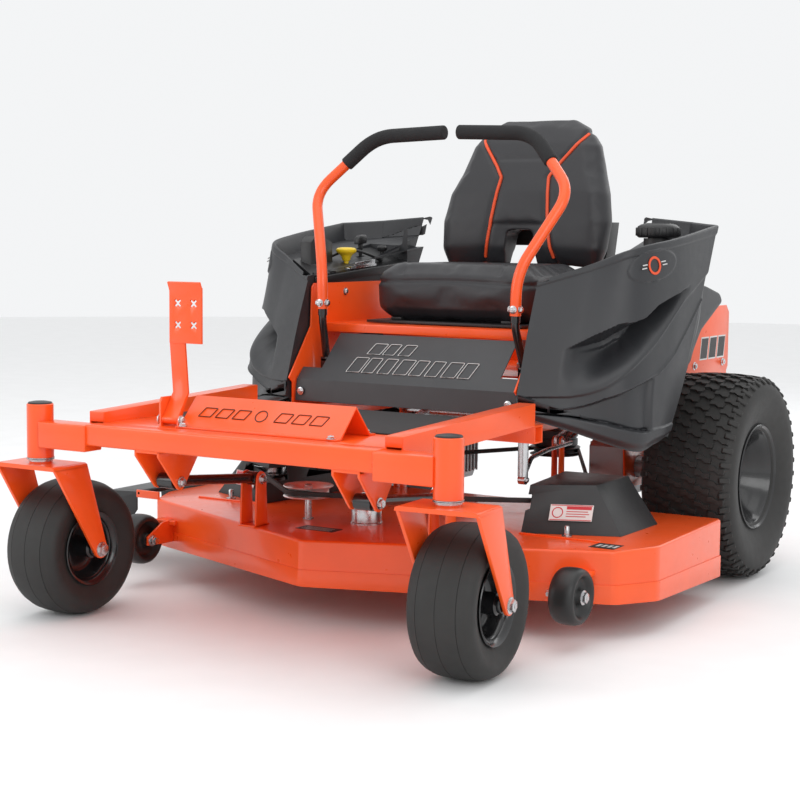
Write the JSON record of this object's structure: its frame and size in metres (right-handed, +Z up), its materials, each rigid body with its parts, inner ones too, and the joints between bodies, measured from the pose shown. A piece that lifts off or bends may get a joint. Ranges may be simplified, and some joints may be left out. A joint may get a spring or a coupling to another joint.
{
  "type": "zero-turn riding mower",
  "caption": "Zero-turn riding lawn mower with front casters, mid-mounted cutting deck, swing-out lap bars, high-back seat, side pods and rear engine.",
  "frame": {"origin": "centre of the bounding box, on the ground under the tyres", "axes": "-Y towards the front of the machine, +X to the operator's left, +Z up"},
  "size_m": [1.69, 1.9375, 1.27],
  "materials": {
    "powder_coat": "gloss",
    "black_paint": "gloss",
    "pod_plastic": "satin",
    "panel_paint": "satin",
    "cap_plastic": "matte",
    "yellow_plastic": "gloss",
    "tyre_rubber": "matte",
    "roller_rubber": "satin",
    "belt_rubber": "matte",
    "grip_foam": "matte",
    "zinc_steel": "polished",
    "black_steel": "satin",
    "cast_alloy": "satin",
    "seat_vinyl": "satin"
  },
  "bodies": {
    "chassis": {"front_beam": "powder_coat", "main_frame": "powder_coat", "floor_pan": "powder_coat", "footrest": "powder_coat", "front_panel": "panel_paint", "seat_pan": "powder_coat", "rear_frame": "powder_coat", "side_plate_left": "powder_coat", "side_plate_right": "powder_coat", "transaxle_left": "cast_alloy", "transaxle_right": "cast_alloy", "fender_left": "pod_plastic", "fender_right": "pod_plastic", "control_console": "cap_plastic", "engine_block": "cast_alloy", "engine_cowl": "black_paint", "muffler": "zinc_steel"},
    "seat": {"seat_cushion": "seat_vinyl", "seat_back": "seat_vinyl", "seat_bracket": "black_paint"},
    "brake_pedal": {"brake_pedal": "powder_coat"},
    "pto_knob": {"pto_knob": "yellow_plastic"},
    "throttle_lever": {"throttle_lever": "cap_plastic"},
    "fuel_cap": {"fuel_cap": "cap_plastic"},
    "deck": {"deck_shell": "powder_coat", "belt_cover_left": "black_paint", "belt_cover_right": "black_paint", "deck_belt": "belt_rubber"},
    "discharge_chute": {"discharge_chute": "cap_plastic"},
    "idler_pulley": {"idler_pulley": "zinc_steel"},
    "drive_pulley": {"drive_pulley": "zinc_steel"},
    "lift_shaft": {"lift_shaft": "zinc_steel"},
    "caster_left": {"caster_fork_left": "powder_coat"},
    "caster_wheel_left": {"caster_rim_left": "black_paint", "caster_tyre_left": "tyre_rubber"},
    "rear_wheel_left": {"rear_rim_left": "black_paint", "rear_tyre_left": "tyre_rubber"},
    "lever_rocker_left": {"pivot_block_left": "black_paint"},
    "lap_bar_left": {"control_lever_left": "black_paint", "lap_bar_left": "powder_coat", "grip_left": "grip_foam"},
    "anti_scalp_wheel_left": {"anti_scalp_wheel_left": "roller_rubber"},
    "deck_link_left": {"deck_link_left": "black_paint"},
    "caster_right": {"caster_fork_right": "powder_coat"},
    "caster_wheel_right": {"caster_rim_right": "black_paint", "caster_tyre_right": "tyre_rubber"},
    "rear_wheel_right": {"rear_rim_right": "black_paint", "rear_tyre_right": "tyre_rubber"},
    "lever_rocker_right": {"pivot_block_right": "black_paint"},
    "lap_bar_right": {"control_lever_right": "black_paint", "lap_bar_right": "powder_coat", "grip_right": "grip_foam"},
    "anti_scalp_wheel_right": {"anti_scalp_wheel_right": "roller_rubber"},
    "deck_link_right": {"deck_link_right": "black_paint"},
    "blade_left": {"spindle_left": "zinc_steel", "blade_left": "black_steel"},
    "blade_centre": {"spindle_centre": "zinc_steel", "blade_centre": "black_steel"},
    "blade_right": {"spindle_right": "zinc_steel", "blade_right": "black_steel"}
  },
  "joints": [
    {"name": "caster_swivel_left", "type": "hinge", "parent": "chassis", "child": "caster_left", "pos_m": [0.671, -0.908, 0.45], "axis": [0, 0, 1], "continuous": true},
    {"name": "caster_spin_left", "type": "hinge", "parent": "caster_left", "child": "caster_wheel_left", "pos_m": [0.66361, -0.80226, 0.165], "axis": [0.9976, 0.0698, 0], "continuous": true},
    {"name": "rear_wheel_spin_left", "type": "hinge", "parent": "chassis", "child": "rear_wheel_left", "pos_m": [0.694, 0.55, 0.2795], "axis": [1, 0, 0], "continuous": true},
    {"name": "lever_drive_left", "type": "hinge", "parent": "chassis", "child": "lever_rocker_left", "pos_m": [0.41, -0.083, 0.54], "axis": [1, 0, 0], "range_deg": [-10, 12]},
    {"name": "lap_bar_swing_left", "type": "hinge", "parent": "lever_rocker_left", "child": "lap_bar_left", "pos_m": [0.41, -0.083, 0.572], "axis": [0, 1, 0], "range_deg": [0, 7]},
    {"name": "anti_scalp_spin_left", "type": "hinge", "parent": "deck", "child": "anti_scalp_wheel_left", "pos_m": [0.74, -0.47, 0.124], "axis": [1, 0, 0], "continuous": true},
    {"name": "caster_swivel_right", "type": "hinge", "parent": "chassis", "child": "caster_right", "pos_m": [-0.451, -0.908, 0.45], "axis": [0, 0, 1], "continuous": true},
    {"name": "caster_spin_right", "type": "hinge", "parent": "caster_right", "child": "caster_wheel_right", "pos_m": [-0.451, -0.802, 0.165], "axis": [1, 0, 0], "continuous": true},
    {"name": "rear_wheel_spin_right", "type": "hinge", "parent": "chassis", "child": "rear_wheel_right", "pos_m": [-0.474, 0.55, 0.2795], "axis": [1, 0, 0], "continuous": true},
    {"name": "lever_drive_right", "type": "hinge", "parent": "chassis", "child": "lever_rocker_right", "pos_m": [-0.19, -0.083, 0.54], "axis": [1, 0, 0], "range_deg": [-10, 12]},
    {"name": "lap_bar_swing_right", "type": "hinge", "parent": "lever_rocker_right", "child": "lap_bar_right", "pos_m": [-0.19, -0.083, 0.572], "axis": [0, -1, 0], "range_deg": [0, 7]},
    {"name": "anti_scalp_spin_right", "type": "hinge", "parent": "deck", "child": "anti_scalp_wheel_right", "pos_m": [-0.52, -0.47, 0.124], "axis": [1, 0, 0], "continuous": true},
    {"name": "brake_pedal_press", "type": "hinge", "parent": "chassis", "child": "brake_pedal", "pos_m": [-0.108, -0.838, 0.5], "axis": [1, 0, 0], "range_deg": [0, 20], "stiffness_Nm_per_rad": 6, "springref_deg": -11.46},
    {"name": "seat_tilt", "type": "hinge", "parent": "chassis", "child": "seat", "pos_m": [0.11, 0.02, 0.694], "axis": [1, 0, 0], "range_deg": [0, 45]},
    {"name": "pto_pull", "type": "slide", "parent": "chassis", "child": "pto_knob", "axis": [0, 0, 1], "range_m": [0, 0.012]},
    {"name": "throttle_set", "type": "hinge", "parent": "chassis", "child": "throttle_lever", "pos_m": [-0.314, 0.27, 0.859], "axis": [1, 0, 0], "range_deg": [-20, 20]},
    {"name": "fuel_cap_turn", "type": "hinge", "parent": "chassis", "child": "fuel_cap", "pos_m": [0.588, 0.33, 0.93], "axis": [0, 0, 1], "range_deg": [0, 120]},
    {"name": "deck_lift", "type": "slide", "parent": "chassis", "child": "deck", "axis": [0, 0, 1], "range_m": [0, 0.075], "deforming": ["deck_belt"]},
    {"name": "discharge_chute_fold", "type": "hinge", "parent": "deck", "child": "discharge_chute", "pos_m": [-0.636, -0.16, 0.218], "axis": [0, 1, 0], "range_deg": [0, 85]},
    {"name": "blade_spin_left", "type": "hinge", "parent": "deck", "child": "blade_left", "pos_m": [0.572, -0.112, 0.284], "axis": [0, 0, 1], "continuous": true},
    {"name": "blade_spin_centre", "type": "hinge", "parent": "deck", "child": "blade_centre", "pos_m": [0.11, -0.345, 0.284], "axis": [0, 0, 1], "continuous": true},
    {"name": "blade_spin_right", "type": "hinge", "parent": "deck", "child": "blade_right", "pos_m": [-0.352, -0.112, 0.284], "axis": [0, 0, 1], "continuous": true},
    {"name": "idler_spin", "type": "hinge", "parent": "deck", "child": "idler_pulley", "pos_m": [-0.04, -0.383, 0.284], "axis": [0, 0, 1], "continuous": true},
    {"name": "drive_pulley_spin", "type": "hinge", "parent": "chassis", "child": "drive_pulley", "pos_m": [0.11, 0.705, 0.284], "axis": [0, 0, 1], "continuous": true},
    {"name": "deck_link_swing_left", "type": "hinge", "parent": "chassis", "child": "deck_link_left", "pos_m": [0.434, -0.852, 0.36], "axis": [1, 0, 0], "range_deg": [0, 13.2]},
    {"name": "deck_link_swing_right", "type": "hinge", "parent": "chassis", "child": "deck_link_right", "pos_m": [-0.106, -0.852, 0.36], "axis": [1, 0, 0], "range_deg": [0, 13.2]},
    {"name": "lift_shaft_turn", "type": "hinge", "parent": "chassis", "child": "lift_shaft", "pos_m": [0.11, 0.385, 0.415], "axis": [-1, 0, 0], "range_deg": [0, 25.64]}
  ],
  "couplings": [
    {"joint": "blade_spin_left", "follows": "blade_spin_centre", "ratio": 1},
    {"joint": "blade_spin_right", "follows": "blade_spin_centre", "ratio": 1},
    {"joint": "idler_spin", "follows": "blade_spin_centre", "ratio": 0.8125},
    {"joint": "drive_pulley_spin", "follows": "blade_spin_centre", "ratio": 0.6842},
    {"joint": "deck_link_swing_left", "follows": "deck_lift", "rad_per_m": 3.0496},
    {"joint": "deck_link_swing_right", "follows": "deck_lift", "rad_per_m": 3.0496},
    {"joint": "lift_shaft_turn", "follows": "deck_lift", "rad_per_m": 5.9443}
  ]
}
